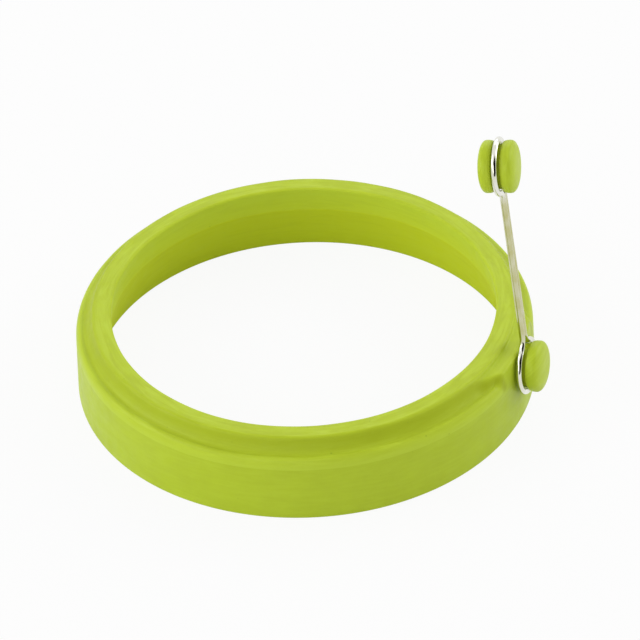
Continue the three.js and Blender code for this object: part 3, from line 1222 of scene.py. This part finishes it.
def set_world():
    """White to look at, with a lower level of light from all round."""
    world = bpy.data.worlds.new("Studio")
    world.use_nodes = True
    tree = world.node_tree
    tree.nodes.clear()
    level = between(tree, looked_at(tree), 0.0, 1.0, WORLD_LEVEL, 1.0)
    light = node(tree, "ShaderNodeBackground", {"Color": solid(WHITE), "Strength": level})
    node(tree, "ShaderNodeOutputWorld", {"Surface": light.outputs[0]})
    arrange(tree)
    bpy.context.scene.world = world


# Operators


class EGGRING_OT_groups(bpy.types.Operator):
    """Builds the node groups that the finishes share"""

    bl_idname = "egg_ring.groups"
    bl_label = "Shared node groups"

    def execute(self, context):
        build_flow_group()
        build_grain_group()
        build_speck_group()
        build_silicone_group()
        return {"FINISHED"}


class EGGRING_OT_ring(bpy.types.Operator):
    """Builds the silicone ring with its lip, pad and stud"""

    bl_idname = "egg_ring.ring"
    bl_label = "Silicone ring"

    def execute(self, context):
        scene = context.scene
        ring = new_object("ring_moulding", ring_mesh(scene.egg_ring_section))
        stud = new_object("stud", stud_mesh(scene.egg_ring_section, scene.egg_ring_handle))
        join_solids(ring, stud)
        ring.data.materials.clear()
        finishes = scene.egg_ring_finishes
        ring.data.materials.append(
            silicone_material("Ring silicone", finishes, RING_CENTRE, UP, RING_STREAKS)
        )
        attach(ring, "ring")
        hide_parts("ring_body")
        return {"FINISHED"}


class EGGRING_OT_wire(bpy.types.Operator):
    """Builds the bent wire with its two loops"""

    bl_idname = "egg_ring.wire"
    bl_label = "Wire handle"

    def execute(self, context):
        scene = context.scene
        wire = new_object("bent_wire", wire_mesh(scene.egg_ring_handle))
        wire.data.materials.append(wire_material(scene.egg_ring_finishes))
        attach(wire, "handle")
        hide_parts("handle_wire")
        return {"FINISHED"}


class EGGRING_OT_knob(bpy.types.Operator):
    """Builds the silicone knob in the upper loop"""

    bl_idname = "egg_ring.knob"
    bl_label = "Knob"

    def execute(self, context):
        scene = context.scene
        knob = new_object("knob_spool", knob_mesh(scene.egg_ring_handle))
        finishes = scene.egg_ring_finishes
        knob.data.materials.append(
            silicone_material("Knob silicone", finishes, KNOB_MIDDLE, KNOB_AXIS, KNOB_STREAKS)
        )
        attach(knob, "knob")
        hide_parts("handle_knob")
        return {"FINISHED"}


class EGGRING_OT_stage(bpy.types.Operator):
    """Builds the floor, the light and the camera"""

    bl_idname = "egg_ring.stage"
    bl_label = "Stage"

    def execute(self, context):
        stage = context.scene.egg_ring_stage
        add_camera(stage)
        add_floor(stage.floor_size)
        add_lamps(stage.camera_turn)
        add_cards(stage.camera_turn)
        set_world()
        context.scene.view_settings.view_transform = "Standard"
        return {"FINISHED"}


STEPS = (
    EGGRING_OT_groups,
    EGGRING_OT_ring,
    EGGRING_OT_wire,
    EGGRING_OT_knob,
    EGGRING_OT_stage,
)
SETTINGS = {
    "egg_ring_section": RingSizes,
    "egg_ring_handle": HandleSizes,
    "egg_ring_finishes": Finishes,
    "egg_ring_stage": StageSizes,
}


class EGGRING_PT_panel(bpy.types.Panel):
    """Lists the settings and the steps that build the egg ring"""

    bl_idname = "EGGRING_PT_panel"
    bl_label = "Egg ring"
    bl_space_type = "VIEW_3D"
    bl_region_type = "UI"
    bl_category = "Egg ring"

    def draw(self, context):
        for name, kind in SETTINGS.items():
            box = self.layout.box()
            settings = getattr(context.scene, name)
            for item in kind.__annotations__:
                box.prop(settings, item)
        for step in STEPS:
            self.layout.operator(step.bl_idname)


CLASSES = (*SETTINGS.values(), *STEPS, EGGRING_PT_panel)


def register():
    """Adds the classes, and the settings to the scene."""
    for item in CLASSES:
        bpy.utils.register_class(item)
    for name, kind in SETTINGS.items():
        setattr(bpy.types.Scene, name, bpy.props.PointerProperty(type=kind))


def unregister():
    """Takes the settings and the classes out again."""
    for name in SETTINGS:
        delattr(bpy.types.Scene, name)
    for item in reversed(CLASSES):
        bpy.utils.unregister_class(item)


def main():
    """Builds the pieces and the stage."""
    register()
    bpy.ops.egg_ring.groups()
    bpy.ops.egg_ring.ring()
    bpy.ops.egg_ring.wire()
    bpy.ops.egg_ring.knob()
    bpy.ops.egg_ring.stage()


if __name__ == "__main__":
    main()
